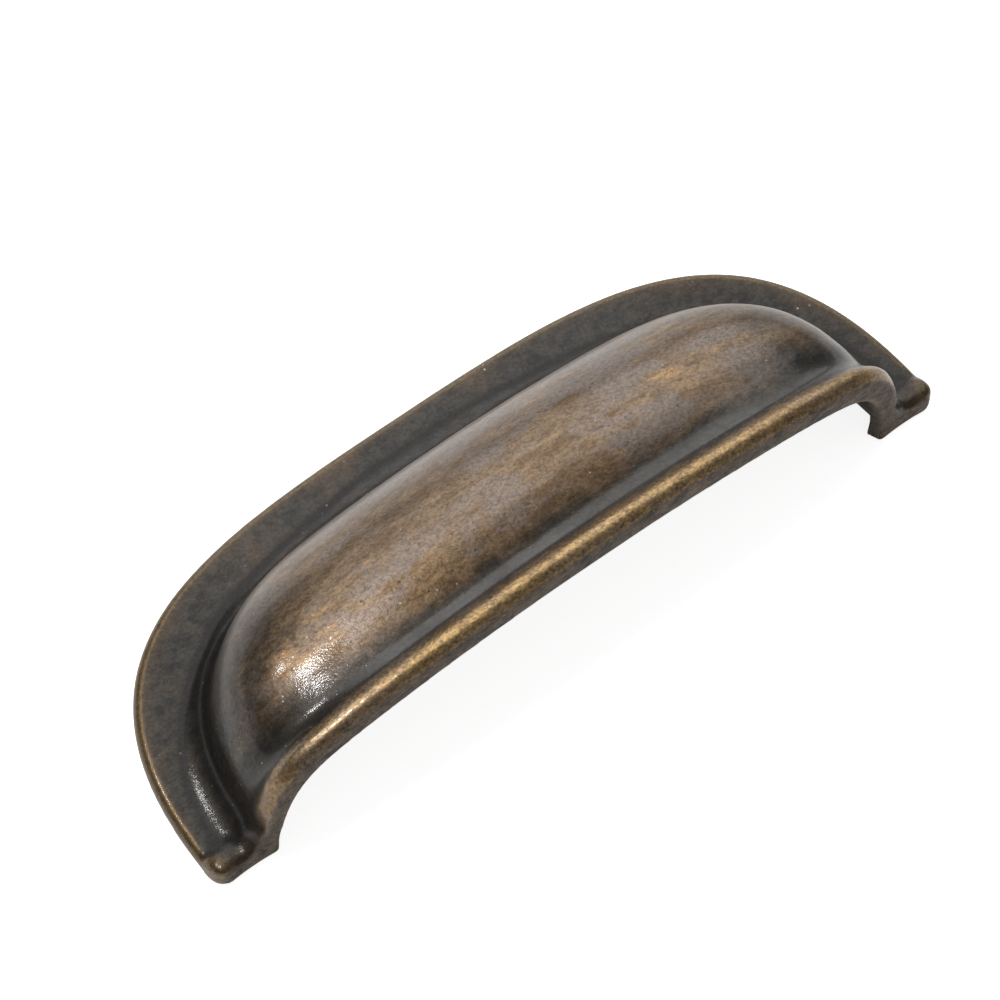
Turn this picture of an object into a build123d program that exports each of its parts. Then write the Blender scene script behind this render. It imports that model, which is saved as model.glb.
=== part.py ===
"""Cup drawer pull, one zinc casting that lies flat on its back.

Sizes in millimetres.  X runs along the pull, Y from the open front edge to the
rear, Z out of the drawer face.  The origin is midway between the two screw
holes, on the back plane.
"""
import os
from math import cos, pi, sin, sqrt

from build123d import *

# Whole casting
LENGTH = 126.0
DEPTH = 43.2

# Flat rim round the ends and the rear: its sides flare a little, its rear edge is bowed
RIM_THICKNESS = 2.4
RIM_WIDTH = 7.8
RIM_REAR_WIDTH = 9.2
RIM_EDGE_ROUND = 1.4
RIM_REAR_PULL = 0.56
RIM_SIDE_FLARE = 1.2
CORNER_ROUND = 2.6

# Dome, which spreads into the rim in a cove
CROWN_HEIGHT = 27.6
CROWN_FROM_FRONT = 13.0
VALLEY_HEIGHT = 26.3
VALLEY_FROM_FRONT = 5.6
DOME_FULLNESS = 2.1
DOME_REAR_PULL = 0.46
ARCH_BOW = 0.27
ARCH_SQUARENESS = 16
COVE_SPREAD = 4.2
COVE_TOP = 8.6
COVE_POWER = 5
COVE_TURN = 5

# Rolled lip along the open edge
LIP_RISE = 2.5
LIP_CREST_FROM_FRONT = 1.8
LIP_RADIUS = 2.0

# Lug at each front corner, where the lip sweeps down, dips and ends in a knob
LUG_DEPTH = 4.8
KNOB_RISE = 1.7
KNOB_CREST_FROM_END = 2.0
KNOB_RADIUS = 2.2
DIP_RISE = 1.4
DIP_FROM_END = 4.6
SWEEP_RADIUS = 1.5
LUG_OVERLAP = 0.8

# Opening for the fingers, and the wider hollow behind its frame
FRAME_WIDTH = 2.4
FRAME_DEPTH = 2.4
OPENING_REAR_SQUARENESS = 24
OPENING_TAPER = 0.4
WALL = 1.8
HOLLOW_SPREAD = 0.3

# Two bosses tapped for M4 screws
HOLE_SPACING = 96.0
HOLE_FROM_FRONT = 15.0
BOSS_RADIUS = 4.2
SCREW_HOLE_RADIUS = 1.65
SCREW_HOLE_DEPTH = 9.0

# How far skins and cutters run on past the faces that trim them
OVERRUN = 3.0
LUG_OVERRUN = 1.0
FRAME_OVERRUN = 0.2
SUNK = 0.6

# Points that the skins are drawn through, and how close they come to them
ARCH_STEPS = 18
SKIN_ROWS = 30
FOOT_CLIP = 0.01
LUG_STEPS = 36
LUG_ROWS = 24
OPENING_STEPS = 16
FIT = 0.02

HALF = LENGTH / 2
FRONT = -HOLE_FROM_FRONT
DOME_HALF = HALF - RIM_WIDTH
DOME_DEPTH = DEPTH - RIM_REAR_WIDTH
TALL = CROWN_HEIGHT + LIP_RISE + OVERRUN


def d_outline(inset=0.0):
    """D outline of the casting, drawn in from its ends and rear by an inset."""
    half = HALF - inset
    rear = FRONT + DEPTH - inset
    with BuildSketch() as outline:
        with BuildLine():
            Line((-half, FRONT), (half, FRONT))
            for side in (1, -1):
                Bezier(
                    (side * half, FRONT),
                    (side * (half + RIM_SIDE_FLARE), rear),
                    (side * RIM_REAR_PULL * half, rear),
                    (0, rear),
                )
        make_face()
        fillet(outline.vertices().group_by(Axis.Y)[0], CORNER_ROUND)
    return outline.sketch


def d_half_length(y, half, depth):
    """Half length of the dome's D outline at a distance y behind its straight front edge."""
    s = max(0.0, 1.0 - max(0.0, y) / depth) ** (1.0 / 3.0)
    flared = half + RIM_SIDE_FLARE
    pull = DOME_REAR_PULL * half
    return half * s**3 + 3.0 * flared * (1.0 - s) * s**2 + 3.0 * pull * (1.0 - s) ** 2 * s


def arch_height(u, squareness):
    """Height of a bowed arch with squared shoulders, for u from -1 to 1 between its feet."""
    return (1.0 - ARCH_BOW * u * u) * sqrt(max(0.0, 1.0 - abs(u) ** squareness))


def ease(at, start, end):
    """Smooth step from 1 at start down to 0 at end."""
    step = min(1.0, max(0.0, (at - start) / (end - start)))
    return 0.5 * (1.0 + cos(pi * step))


def rounding_drop(at, crest, radius):
    """Drop from a crest to a rounded edge at 0, and on past the edge along its slope."""
    ahead = min(crest, max(0.0, crest - at))
    edge = sqrt(radius**2 - ahead**2)
    return radius - edge + max(0.0, -at) * crest / edge


def lip_height(y):
    """Height of the rolled lip over the valley, at a distance y behind the front edge."""
    rise = LIP_RISE * ease(y, LIP_CREST_FROM_FRONT, VALLEY_FROM_FRONT)
    return rise - rounding_drop(y, LIP_CREST_FROM_FRONT, LIP_RADIUS)


def even_steps(curve, start, end, count, fine=3000):
    """Parameters that divide a curve between start and end into steps of equal length."""
    params = [start + (end - start) * i / fine for i in range(fine + 1)]
    points = [Vector(*curve(p)) for p in params]
    lengths = [0.0]
    for a, b in zip(points, points[1:]):
        lengths.append(lengths[-1] + (b - a).length)
    chosen = []
    at = 0
    for i in range(count + 1):
        while at < fine and lengths[at] < lengths[-1] * i / count:
            at += 1
        chosen.append(params[at])
    return chosen


def smooth_face(rows):
    """Surface through rows of points, to within FIT."""
    return Face.make_surface_from_array_of_points(
        rows, tol=FIT, smoothing=(1, 1, 1), min_deg=3, max_deg=5
    )


def skin(half, depth, crown, valley, lip, cove):
    """Smooth surface of the cup: an arch at each step from the lip back to the rear wall.

    It starts in front of the front plane.  The walls spread out in a cove at the
    foot and end a little below the back plane.
    """

    def middle(p):
        """Distance from the front, share of the rear run passed and height.

        p goes from 0 in front to 1 at the crown and 2 at the foot of the rear wall.
        """
        if p < 1.0:
            y = -OVERRUN + (CROWN_FROM_FRONT + OVERRUN) * p
            height = crown - (crown - valley) * ease(y, VALLEY_FROM_FRONT, CROWN_FROM_FRONT)
            return y, 0.0, height + lip * lip_height(y)
        run = sin(0.5 * pi * (p - 1.0))
        y = CROWN_FROM_FRONT + (depth - CROWN_FROM_FRONT) * run
        return y, run, (crown + SUNK) * sqrt(1.0 - run**DOME_FULLNESS) - SUNK

    def spread(z):
        """How far the cove carries a wall outward at height z."""
        share = (COVE_TOP - max(z, RIM_THICKNESS)) / (COVE_TOP - RIM_THICKNESS)
        slope = COVE_POWER / (COVE_TOP - RIM_THICKNESS)
        return cove * (max(0.0, share) ** COVE_POWER + slope * max(0.0, RIM_THICKNESS - z))

    def rear_wall(p):
        y, run, z = middle(p)
        return y + spread(z), z

    def end_wall(p):
        z = crown * arch_height(sin(p), ARCH_SQUARENESS)
        return half * sin(p) + spread(z), z

    shares = [sin(p) for p in even_steps(end_wall, 0.0, 0.5 * pi, ARCH_STEPS)]
    shares = [-u for u in reversed(shares[1:])] + shares
    rows = []
    for p in even_steps(rear_wall, 0.0, 2.0 - FOOT_CLIP, SKIN_ROWS):
        y, run, height = middle(p)
        length = d_half_length(y, half, depth)
        row = []
        for u in shares:
            rise = arch_height(u, ARCH_SQUARENESS)
            z = (height + SUNK) * rise - SUNK
            toward_end = u**COVE_TURN
            toward_rear = run**COVE_TURN
            out = spread(z) / max(1e-6, sqrt(toward_end**2 + toward_rear**2))
            x = (length + lip * lip_height(y) * rise) * u + out * toward_end
            row.append(Vector(x, FRONT + y + out * toward_rear, z))
        rows.append(row)
    return smooth_face(rows)


def lug_skin(side):
    """Top of a lug: the lip's bead runs out along the rim to a knob at the corner."""
    rows = []
    for i in range(LUG_ROWS + 1):
        y = -LUG_OVERRUN + (LUG_DEPTH + 2 * LUG_OVERRUN) * i / LUG_ROWS
        bead = 1.0 - (max(0.0, y - LIP_CREST_FROM_FRONT) / (LUG_DEPTH - LIP_CREST_FROM_FRONT)) ** 2
        row = []
        for j in range(LUG_STEPS + 1):
            from_end = -LUG_OVERRUN + (RIM_WIDTH + LUG_OVERLAP + LUG_OVERRUN) * j / LUG_STEPS
            rise = DIP_RISE + (KNOB_RISE - DIP_RISE) * ease(from_end, KNOB_CREST_FROM_END, DIP_FROM_END)
            rise += max(0.0, from_end - DIP_FROM_END) ** 2 / (2.0 * SWEEP_RADIUS)
            drop = rounding_drop(from_end, KNOB_CREST_FROM_END, KNOB_RADIUS)
            drop += rounding_drop(y, LIP_CREST_FROM_FRONT, LIP_RADIUS)
            row.append(Vector(side * (HALF - from_end), FRONT + y, RIM_THICKNESS + rise * bead - drop))
        rows.append(row)
    return smooth_face(rows)


def opening_section(y, squareness):
    """Outline of the opening in the front frame, at a distance y behind the front edge."""
    half = DOME_HALF - FRAME_WIDTH - OPENING_TAPER * y
    height = VALLEY_HEIGHT - FRAME_WIDTH
    shares = [sin(0.5 * pi * i / OPENING_STEPS) for i in range(-OPENING_STEPS, OPENING_STEPS + 1)]
    with BuildSketch(Plane.XZ.offset(-(FRONT + y))) as section:
        with BuildLine():
            top = Spline(*[(half * u, height * arch_height(u, squareness)) for u in shares])
            Polyline(top @ 0, (-half, -OVERRUN), (half, -OVERRUN), top @ 1)
        make_face()
    return section.sketch


# Solid under the outer skin, kept inside the rounded edge of the rim
with BuildPart() as dome:
    outer = skin(
        half=DOME_HALF,
        depth=DOME_DEPTH,
        crown=CROWN_HEIGHT,
        valley=VALLEY_HEIGHT,
        lip=1.0,
        cove=COVE_SPREAD,
    )
    extrude(outer, amount=2 * TALL, dir=(0, 0, -1))
    extrude(d_outline(RIM_EDGE_ROUND), amount=TALL, mode=Mode.INTERSECT)

with BuildPart() as lugs:
    for side in (1, -1):
        extrude(lug_skin(side), amount=2 * TALL, dir=(0, 0, -1))
    extrude(d_outline(), amount=TALL, mode=Mode.INTERSECT)

# Hollow of the cup behind the front frame, with the two bosses left out of it
with BuildPart() as hollow:
    inner = skin(
        half=DOME_HALF - WALL,
        depth=DOME_DEPTH - WALL,
        crown=CROWN_HEIGHT - WALL,
        valley=VALLEY_HEIGHT - WALL,
        lip=0.0,
        cove=HOLLOW_SPREAD,
    )
    extrude(inner, amount=2 * TALL, dir=(0, 0, -1))
    split(bisect_by=Plane.XZ.offset(-(FRONT + FRAME_DEPTH)), keep=Keep.BOTTOM)
    with GridLocations(HOLE_SPACING, 1, 2, 1):
        Cylinder(BOSS_RADIUS, 2 * TALL, mode=Mode.SUBTRACT)

# Opening through the front frame, wider and rounder in front
with BuildPart() as opening:
    in_front = opening_section(-FRAME_OVERRUN, ARCH_SQUARENESS)
    behind = opening_section(FRAME_DEPTH + FRAME_OVERRUN, OPENING_REAR_SQUARENESS)
    loft([in_front, behind], ruled=True)

with BuildPart() as cup_pull:
    extrude(d_outline(), amount=RIM_THICKNESS)
    fillet(cup_pull.faces().sort_by(Axis.Z)[-1].edges(), RIM_EDGE_ROUND)
    add(dome.part)
    add(lugs.part)
    add(hollow.part, mode=Mode.SUBTRACT)
    add(opening.part, mode=Mode.SUBTRACT)
    with BuildSketch():
        with GridLocations(HOLE_SPACING, 1, 2, 1):
            Circle(SCREW_HOLE_RADIUS)
    extrude(amount=SCREW_HOLE_DEPTH, mode=Mode.SUBTRACT)

cup_pull.part.label = "cup_pull"
os.makedirs("parts", exist_ok=True)
export_step(cup_pull.part, "parts/cup_pull.step")
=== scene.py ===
"""Looks of the cup drawer pull: its casting in lacquered, aged brass, on a plain white floor.

Lengths are in metres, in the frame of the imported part.
"""

import math

import bmesh
import bpy
import numpy as np
from mathutils import Matrix, Vector, noise
from mathutils.bvhtree import BVHTree


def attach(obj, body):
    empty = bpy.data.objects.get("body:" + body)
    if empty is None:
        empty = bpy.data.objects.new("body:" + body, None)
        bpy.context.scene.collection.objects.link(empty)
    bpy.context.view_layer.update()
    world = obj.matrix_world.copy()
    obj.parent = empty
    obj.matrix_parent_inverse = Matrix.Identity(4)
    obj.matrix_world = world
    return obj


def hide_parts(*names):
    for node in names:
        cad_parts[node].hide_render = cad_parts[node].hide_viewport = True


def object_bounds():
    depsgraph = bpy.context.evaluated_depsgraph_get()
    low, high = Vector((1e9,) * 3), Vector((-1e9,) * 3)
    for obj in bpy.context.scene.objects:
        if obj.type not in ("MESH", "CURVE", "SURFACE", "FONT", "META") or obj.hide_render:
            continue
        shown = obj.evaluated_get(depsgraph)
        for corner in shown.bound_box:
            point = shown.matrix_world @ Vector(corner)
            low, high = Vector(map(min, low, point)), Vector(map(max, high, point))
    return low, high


MM = 0.001

# Camera, from a fit to the photograph's outline
AZIMUTH = math.radians(-42.333)
ELEVATION = math.radians(61.931)
ROLL = math.radians(5.0)
CAMERA_DISTANCE = 0.94606
CAMERA_RIGHT = -0.011816
CAMERA_UP = 0.019762
FOCAL_PIXELS = 6858.1
PICTURE_PIXELS = 1000.0
SENSOR_MM = 36.0

# Casting: an even mesh of the solid, softened as a cast and tumbled edge is
VOXEL = 0.46 * MM
EVENING_ROUNDS = 4
EDGE_ROUNDS = 2
LUG_ROUNDS = 16
LUG_CENTRE = Vector((57.0, -13.0, 4.0)) * MM
LUG_CORE = 3.6 * MM
LUG_REACH = 6.0 * MM
SHOULDER_CENTRE = np.array((37.0, -9.0)) * MM
SHOULDER_REACH = np.array((8.0, 3.0)) * MM
SHOULDER_RISE = 0.7 * MM
HOOD_FOOT = 12.0 * MM
WAVE_SIZE = 8.0 * MM
WAVE_HEIGHT = 0.025 * MM
CREST_ROUNDS = 12
SWELL_ROUNDS = 160
UNDER_HOOD = Vector((0.0, 3.0, -6.0)) * MM
UNDER_FLATTEN = (0.15, 1.0, 1.0)
STRIP_DEPTH = 0.4 * MM
STRIP_FACING = -0.8
REAR_FACING = (0.25, 0.7)
MARK_ROUNDS = 2

# Bands of the finish, each from where a change starts to where it ends
LIP_BAND = (5.0 * MM, 3.6 * MM)
RIM_BAND = (4.6 * MM, 2.8 * MM)
HOOD_BAND = (5.0 * MM, 12.0 * MM)
HIGH_BAND = (8.0 * MM, 20.0 * MM)
HOOD_END_BAND = (28.0 * MM, 48.0 * MM)
LIP_END_BAND = (22.0 * MM, 48.0 * MM)

# Relief and lacquer of the finish
RELIEF_DEPTH = 0.027 * MM
COAT_ROUGHNESS = 0.12
COAT_IOR = 1.5

# Colours of the finish, with a painted glint and a partly painted sheen
DARK = (0.011, 0.010, 0.009)
PATINA = (0.029, 0.025, 0.020)
STRIP = (0.190, 0.142, 0.098)
BROWN = (0.105, 0.062, 0.029)
BRONZE = (0.170, 0.116, 0.070)
# Taupe, partly a painted sheen: the grey of the lacquer's reflection put into the colour
TAUPE_AND_SHEEN = (0.152, 0.122, 0.104)
OCHRE = (0.330, 0.182, 0.062)
GOLD = (0.345, 0.226, 0.094)
# Pale colour of the painted glints, small painted highlights
GLINT_PAINT = (0.360, 0.330, 0.290)

# Floor, just clear of the part's back, and the room
FLOOR_HALF = 4.0
FLOOR_DROP = 0.05 * MM
FLOOR_PAINT = (0.85, 0.85, 0.85)
FLOOR_GLOW = 0.85
FLOOR_GLOW_MIRRORED = 0.25
ROOM_LEVEL = 0.25

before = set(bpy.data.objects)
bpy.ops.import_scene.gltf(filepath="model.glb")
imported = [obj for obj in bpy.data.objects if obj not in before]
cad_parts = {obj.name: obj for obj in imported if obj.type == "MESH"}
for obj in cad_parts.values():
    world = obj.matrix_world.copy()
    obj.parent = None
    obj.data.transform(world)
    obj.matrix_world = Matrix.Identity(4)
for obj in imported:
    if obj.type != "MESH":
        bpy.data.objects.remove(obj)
cad_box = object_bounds()
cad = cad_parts["cup_pull"]
front_y = cad_box[0][1]


def direction(azimuth, elevation):
    """Unit vector from the part towards a camera or lamp; azimuth 0 is straight in front of the opening."""
    level = Vector((math.sin(azimuth), -math.cos(azimuth), 0.0))
    return math.cos(elevation) * level + Vector((0.0, 0.0, math.sin(elevation)))


def weld(source):
    """Copy of a mesh with the seams between its faces closed."""
    bm = bmesh.new()
    bm.from_mesh(source)
    bmesh.ops.remove_doubles(bm, verts=bm.verts, dist=1e-6)
    mesh = bpy.data.meshes.new("welded")
    bm.to_mesh(mesh)
    bm.free()
    return mesh


def even_mesh(source, voxel):
    """Closed mesh of even small faces with the form of source."""
    work = bpy.data.objects.new("even_mesh", source)
    bpy.context.scene.collection.objects.link(work)
    remesh = work.modifiers.new("even", "REMESH")
    remesh.mode = "VOXEL"
    remesh.voxel_size = voxel
    done = work.evaluated_get(bpy.context.evaluated_depsgraph_get())
    mesh = bpy.data.meshes.new_from_object(done)
    bpy.data.objects.remove(work)
    return mesh


def coordinates(mesh):
    co = np.empty(len(mesh.vertices) * 3)
    mesh.vertices.foreach_get("co", co)
    return co.reshape(-1, 3)


def place(mesh, co):
    mesh.vertices.foreach_set("co", co.ravel())
    mesh.update()


def normals(mesh):
    n = np.empty(len(mesh.vertices) * 3)
    mesh.vertex_normals.foreach_get("vector", n)
    return n.reshape(-1, 3)


def edge_pairs(mesh):
    pairs = np.empty(len(mesh.edges) * 2, np.int32)
    mesh.edges.foreach_get("vertices", pairs)
    return pairs.reshape(-1, 2)


def spread(values, pairs, rounds, share=0.5):
    """Values evened out over the mesh: each round moves a vertex towards its neighbours' mean."""
    values = np.array(values, float)
    columns = values.reshape(len(values), -1)
    ends = np.concatenate([pairs[:, 0], pairs[:, 1]])
    others = np.concatenate([pairs[:, 1], pairs[:, 0]])
    count = np.bincount(ends, minlength=len(values))
    for _ in range(rounds):
        mean = np.stack([np.bincount(ends, c[others], len(values)) / count for c in columns.T], 1)
        columns += share * (mean - columns)
    return columns.reshape(values.shape)


def smooth_step(values, low, high):
    t = np.clip((values - low) / (high - low), 0.0, 1.0)
    return t * t * (3.0 - 2.0 * t)


def store(mesh, name, values):
    attribute = mesh.attributes.new(name, "FLOAT", "POINT")
    attribute.data.foreach_set("value", np.asarray(values, np.float32))


def cast_form(mesh, surface):
    """Points of the casting: on the solid's skin, with soft edges and melted lugs.

    The valley is a little shallower at the hood's shoulders, and the whole has a slight wave.
    """
    pairs = edge_pairs(mesh)
    form = spread(coordinates(mesh), pairs, EVENING_ROUNDS)
    form = np.array([surface.find_nearest(Vector(p))[0] for p in form])
    form = spread(form, pairs, EDGE_ROUNDS)
    mirrored = np.abs(form[:, :1]) * [1, 0, 0] + form * [0, 1, 1]
    from_lug = np.linalg.norm(mirrored - LUG_CENTRE, axis=1)
    near_lug = 1.0 - smooth_step(from_lug, LUG_CORE, LUG_REACH)
    for _ in range(LUG_ROUNDS):
        form += near_lug[:, None] * (spread(form, pairs, 1) - form)
    shoulder = np.exp(-np.sum(((mirrored[:, :2] - SHOULDER_CENTRE) / SHOULDER_REACH) ** 2, 1))
    form[:, 2] += SHOULDER_RISE * shoulder * (form[:, 2] > HOOD_FOOT)
    place(mesh, form)
    wave = np.array([noise.noise(Vector(p) / WAVE_SIZE) for p in form])
    form = form + (WAVE_HEIGHT * wave)[:, None] * normals(mesh)
    return np.clip(form, *np.array(cad_box))


skin = weld(cad.data)
casting = bpy.data.objects.new("casting", even_mesh(skin, VOXEL))
bpy.context.scene.collection.objects.link(casting)
mesh = casting.data
solid = bmesh.new()
solid.from_mesh(cad.data)
form = cast_form(mesh, BVHTree.FromBMesh(solid))
solid.free()
place(mesh, form)
mesh.shade_smooth()

# How far each point stands out of, or lies in, the form around it, in millimetres
pairs = edge_pairs(mesh)
out = normals(mesh)
store(mesh, "crest", np.sum((form - spread(form, pairs, CREST_ROUNDS)) * out, 1) / MM)
store(mesh, "swell", np.sum((form - spread(form, pairs, SWELL_ROUNDS)) * out, 1) / MM)

# Marks from 0 to 1 for the underside with the hollow, the narrow front face, and all that faces the rear
under = np.sum(out * (form * UNDER_FLATTEN - np.array(UNDER_HOOD)), 1) < 0.0
store(mesh, "under", spread(under.astype(float), pairs, MARK_ROUNDS))
strip = (out[:, 1] < STRIP_FACING) & (form[:, 1] < front_y + STRIP_DEPTH)
store(mesh, "strip", spread(strip.astype(float), pairs, MARK_ROUNDS))
store(mesh, "behind", smooth_step(out[:, 1], *REAR_FACING))

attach(casting, "root")
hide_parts("cup_pull")


class Nodes:
    """Short names for the nodes that a material is made of."""

    def __init__(self, material):
        material.use_nodes = True
        self.tree = material.node_tree
        self.shader = self.tree.nodes["Principled BSDF"]
        self.place = self.node("TexCoord").outputs["Object"]

    def node(self, kind, inputs=(), **settings):
        made = self.tree.nodes.new("ShaderNode" + kind)
        for key, value in settings.items():
            setattr(made, key, value)
        for key, value in dict(inputs).items():
            self.plug(made.inputs[key], value)
        return made

    def plug(self, socket, value):
        if isinstance(value, bpy.types.NodeSocket):
            self.tree.links.new(value, socket)
        else:
            socket.default_value = value

    def attribute(self, name):
        return self.node("Attribute", attribute_name=name).outputs["Fac"]

    def moved(self, stretch=(1, 1, 1), turn=0.0, shift=0.0):
        """Place on the part, drawn out along the part's axes, turned about Z and moved away."""
        inputs = {
            "Vector": self.place,
            "Scale": stretch,
            "Rotation": (0, 0, turn),
            "Location": (shift, shift, shift),
        }
        return self.node("Mapping", inputs).outputs["Vector"]

    def noise(self, size, detail=3.0, rough=0.5, vector=None, bend=0.0):
        inputs = {
            "Vector": vector or self.place,
            "Scale": 1.0 / size,
            "Detail": detail,
            "Roughness": rough,
            "Distortion": bend,
        }
        return self.node("TexNoise", inputs).outputs["Fac"]

    def dots(self, size, vector=None):
        """Distance from the nearest of many scattered points, in units of their spacing."""
        inputs = {"Vector": vector or self.place, "Scale": 1.0 / size}
        return self.node("TexVoronoi", inputs).outputs["Distance"]

    def step(self, value, low, high):
        """0 below low, 1 above high, or the other way round where low is the higher."""
        inputs = {"Value": value, "From Min": low, "From Max": high}
        return self.node("MapRange", inputs, interpolation_type="SMOOTHSTEP").outputs["Result"]

    def span(self, value, low, high):
        """Value from 0 to 1 taken to low to high."""
        return self.node("MapRange", {"Value": value, "To Min": low, "To Max": high}).outputs["Result"]

    def math(self, operation, a, b):
        return self.node("Math", {0: a, 1: b}, operation=operation).outputs["Value"]

    def times(self, *values):
        total = values[0]
        for value in values[1:]:
            total = self.math("MULTIPLY", total, value)
        return total

    def plus(self, a, b):
        return self.math("ADD", a, b)

    def blend(self, share, a, b):
        """Colour a where share is 0, b where it is 1. Inputs 6 and 7 and output 2 are the colours."""
        first, second = [(*c, 1) if isinstance(c, tuple) else c for c in (a, b)]
        return self.node("Mix", {"Factor": share, 6: first, 7: second}, data_type="RGBA").outputs[2]


def aged_brass():
    """Brass under a dark patina and clear lacquer, rubbed bright where it stands out."""
    made = bpy.data.materials.new("aged_brass")
    n = Nodes(made)
    crest = n.attribute("crest")
    swell = n.attribute("swell")
    under = n.attribute("under")
    strip = n.attribute("strip")
    behind = n.attribute("behind")
    axes = n.node("SeparateXYZ", {"Vector": n.place}).outputs
    lip_zone = n.step(axes["Y"], *[front_y + y for y in LIP_BAND])
    rim_zone = n.step(axes["Z"], *RIM_BAND)
    hood_zone = n.step(axes["Z"], *HOOD_BAND)
    high_zone = n.step(axes["Z"], *HIGH_BAND)
    along = n.math("ABSOLUTE", axes["X"], 0.0)
    end_zone = n.step(along, *HOOD_END_BAND)
    lip_end = n.step(along, *LIP_END_BAND)

    grain = n.noise(0.28 * MM, 2.0, 0.55)
    sand = n.noise(0.45 * MM, 3.0, 0.75, n.moved((0.8, 1, 1), math.radians(25), 0.13))
    mottle = n.noise(2.0 * MM, 6.0, 0.65)
    patch = n.noise(11.0 * MM, 4.0, 0.55)
    cloud = n.noise(5.0 * MM, 4.0, 0.6, n.moved((0.45, 1, 1), math.radians(12), 0.19))
    streak = n.noise(1.6 * MM, 5.0, 0.6, n.moved((0.32, 1, 0.8), math.radians(8), 0.03), 0.4)
    fleck = n.noise(0.7 * MM, 4.0, 0.7, n.moved((0.55, 1, 1), math.radians(5), 0.07))
    peel = n.noise(0.9 * MM, 1.0)
    pit = n.times(n.step(n.dots(1.5 * MM), 0.14, 0.07), n.step(n.noise(4.0 * MM, 2.0), 0.5, 0.62))
    # Painted glints: scattered pale specks standing in for highlights
    painted_glint = n.times(n.step(n.dots(1.9 * MM, n.moved(shift=0.11)), 0.1, 0.05), n.step(patch, 0.48, 0.58))
    texture = n.plus(n.times(mottle, 0.5), n.times(fleck, 0.5))

    # Dark patina all over, browner where it is thin and towards the rim's edge
    colour = n.blend(n.step(texture, 0.4, 0.6), DARK, PATINA)
    tint = n.plus(n.step(patch, 0.45, 0.7), n.times(n.step(swell, 0.0, 0.9), rim_zone))
    colour = n.blend(n.times(tint, 0.28), colour, BROWN)
    # Hood: brown, bronze and taupe, with rubbed streaks and flecks of ochre; the taupe clouds are partly
    # random tone and partly a painted sheen of the lacquer
    thin = n.plus(n.plus(swell, n.span(patch, -0.4, 0.4)), n.span(texture, -0.3, 0.3))
    rubbed = n.times(n.step(n.plus(thin, n.times(end_zone, -0.6)), -0.55, 0.15), hood_zone)
    lined = n.plus(n.times(streak, 0.6), n.times(fleck, 0.4))
    brass = n.blend(n.step(lined, 0.4, 0.58), BROWN, BRONZE)
    brass = n.blend(n.times(n.step(cloud, 0.44, 0.6), 0.75), brass, TAUPE_AND_SHEEN)
    colour = n.blend(rubbed, colour, brass)
    golden = n.times(n.step(lined, 0.54, 0.66), n.step(cloud, 0.56, 0.44), rubbed, 0.7)
    colour = n.blend(golden, colour, OCHRE)
    # Hollows keep the patina
    hollow = n.step(crest, 0.004, -0.07)
    colour = n.blend(hollow, colour, n.blend(n.times(hood_zone, 0.8), DARK, PATINA))
    # Lip and a thin line round the rim are rubbed to gold, less so towards the lip's ends; low down the
    # gold is taken out as painted shade near the floor
    rub = n.plus(crest, n.span(n.plus(n.times(texture, 0.6), n.times(sand, 0.4)), -0.4, 0.4))
    end_fade_and_low_shade = n.times(n.span(high_zone, 0.08, 1.0), n.span(lip_end, 1.0, 0.4))
    lip = n.times(n.step(rub, -0.04, 0.2), lip_zone, end_fade_and_low_shade)
    line = n.times(n.step(crest, 0.07, 0.12), rim_zone, 0.22)
    edge = n.times(n.math("MAXIMUM", lip, line), n.step(strip, 0.6, 0.25), n.step(under, 0.6, 0.3))
    colour = n.blend(edge, colour, GOLD)
    # Front strip, underside and hollow are left as they were dipped
    dull = n.math("MAXIMUM", strip, under)
    colour = n.blend(dull, colour, n.blend(n.step(texture, 0.36, 0.64), PATINA, STRIP))
    # Pits, painted glints (pale specks that stand in for highlights), dark specks and sand over everything
    colour = n.blend(n.times(pit, 0.6), colour, DARK)
    colour = n.blend(n.times(painted_glint, 0.7), colour, GLINT_PAINT)
    colour = n.blend(n.times(n.step(fleck, 0.53, 0.68), 0.5), colour, DARK)
    sandy = n.span(n.step(sand, 0.25, 0.75), 0.6, 1.4)
    colour = n.node("HueSaturation", {"Color": colour, "Value": sandy}).outputs["Color"]

    # Lacquer: fuller in the valley, thinner at the hood's foot, ends and rear side and on the rim
    bare = n.math("MAXIMUM", rubbed, edge)
    foot = n.times(hollow, n.span(hood_zone, 1.0, 0.0))
    valley = n.times(n.step(swell, -0.1, -0.6), hood_zone)
    shine = n.plus(1.0, n.times(valley, n.span(n.step(cloud, 0.4, 0.6), 0.4, 1.4)))
    worn = n.times(n.span(end_zone, 1.0, 0.6), n.span(rim_zone, 1.0, 0.85), n.span(foot, 1.0, 0.6))
    worn = n.times(worn, n.span(n.times(behind, hood_zone), 1.0, 0.5))
    coat = n.times(n.span(texture, 0.1, 0.9), shine, worn, n.span(dull, 1.0, 0.1))
    n.plug(n.shader.inputs["Base Color"], colour)
    n.plug(n.shader.inputs["Metallic"], n.times(n.span(bare, 0.8, 0.97), n.span(dull, 1.0, 0.4)))
    n.plug(n.shader.inputs["Roughness"], n.plus(n.span(mottle, 0.32, 0.52), n.span(dull, 0.0, 0.35)))
    n.plug(n.shader.inputs["Coat Weight"], n.math("MINIMUM", coat, 1.0))
    n.shader.inputs["Coat Roughness"].default_value = COAT_ROUGHNESS
    n.shader.inputs["Coat IOR"].default_value = COAT_IOR

    relief = n.plus(n.plus(n.times(grain, 0.7), n.times(peel, 0.3)), n.times(pit, -1.2))
    bump = n.node("Bump", {"Height": relief, "Distance": RELIEF_DEPTH, "Strength": 1.0})
    n.plug(n.shader.inputs["Normal"], bump.outputs["Normal"])
    n.plug(n.shader.inputs["Coat Normal"], bump.outputs["Normal"])
    return made


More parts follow.
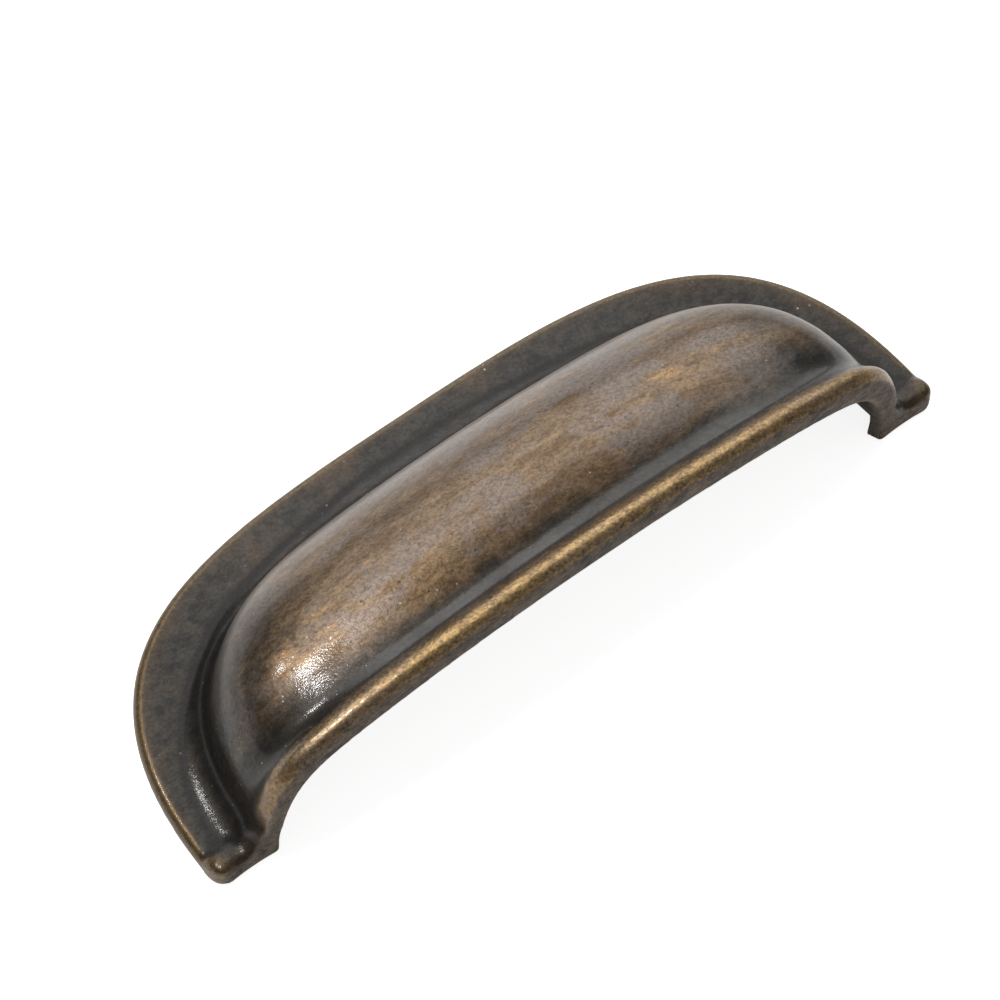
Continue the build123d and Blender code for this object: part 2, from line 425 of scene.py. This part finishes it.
def white_floor():
    """Pale paint, lifted to white for the eye and to about 1, with the light on it, in reflections."""
    made = bpy.data.materials.new("floor_white")
    n = Nodes(made)
    n.shader.inputs["Base Color"].default_value = (*FLOOR_PAINT, 1)
    n.shader.inputs["Roughness"].default_value = 0.9
    n.shader.inputs["Specular IOR Level"].default_value = 0.0
    path = n.node("LightPath").outputs
    seen = n.times(n.math("MAXIMUM", path["Is Camera Ray"], path["Is Transmission Ray"]), FLOOR_GLOW)
    mirrored = n.times(path["Is Glossy Ray"], FLOOR_GLOW_MIRRORED)
    n.shader.inputs["Emission Color"].default_value = (1, 1, 1, 1)
    n.plug(n.shader.inputs["Emission Strength"], n.plus(seen, mirrored))
    return made


casting.data.materials.append(aged_brass())

# Floor
floor_mesh = bpy.data.meshes.new("floor")
corners = [(x * FLOOR_HALF, y * FLOOR_HALF, 0) for x, y in ((-1, -1), (1, -1), (1, 1), (-1, 1))]
floor_mesh.from_pydata(corners, [], [(0, 1, 2, 3)])
floor = bpy.data.objects.new("floor", floor_mesh)
floor.location.z = -FLOOR_DROP
bpy.context.scene.collection.objects.link(floor)
floor.data.materials.append(white_floor())

# Camera
back = direction(AZIMUTH, ELEVATION)
right = Vector((math.cos(AZIMUTH), math.sin(AZIMUTH), 0.0))
up = back.cross(right)
across = math.cos(ROLL) * right + math.sin(ROLL) * up
upward = math.cos(ROLL) * up - math.sin(ROLL) * right
eye = back * CAMERA_DISTANCE + across * CAMERA_RIGHT + upward * CAMERA_UP + Vector((0, front_y, 0))
camera_data = bpy.data.cameras.new("camera")
camera_data.sensor_width = SENSOR_MM
camera_data.lens = SENSOR_MM * FOCAL_PIXELS / PICTURE_PIXELS
camera = bpy.data.objects.new("camera", camera_data)
camera.matrix_world = Matrix([(across[i], upward[i], back[i], eye[i]) for i in range(3)] + [(0, 0, 0, 1)])
bpy.context.scene.collection.objects.link(camera)
bpy.context.scene.camera = camera


def softbox(name, azimuth, elevation, distance, size, power):
    """Square lamp that looks at the part from a direction in degrees."""
    away = direction(math.radians(azimuth), math.radians(elevation))
    lamp = bpy.data.lights.new(name, "AREA")
    lamp.size = size
    lamp.energy = power
    made = bpy.data.objects.new(name, lamp)
    made.location = away * distance
    made.rotation_euler = away.to_track_quat("Z", "Y").to_euler()
    bpy.context.scene.collection.objects.link(made)


softbox("key", -122, 74, 1.2, 0.1, 6.8)
softbox("kicker", -144, 53, 1.2, 0.08, 2.8)
softbox("rear", 145, 42, 0.9, 1.1, 6.6)

world = bpy.data.worlds.new("studio")
world.use_nodes = True
world.node_tree.nodes["Background"].inputs["Color"].default_value = (1, 1, 1, 1)
world.node_tree.nodes["Background"].inputs["Strength"].default_value = ROOM_LEVEL
bpy.context.scene.world = world
bpy.context.scene.view_settings.view_transform = "Standard"
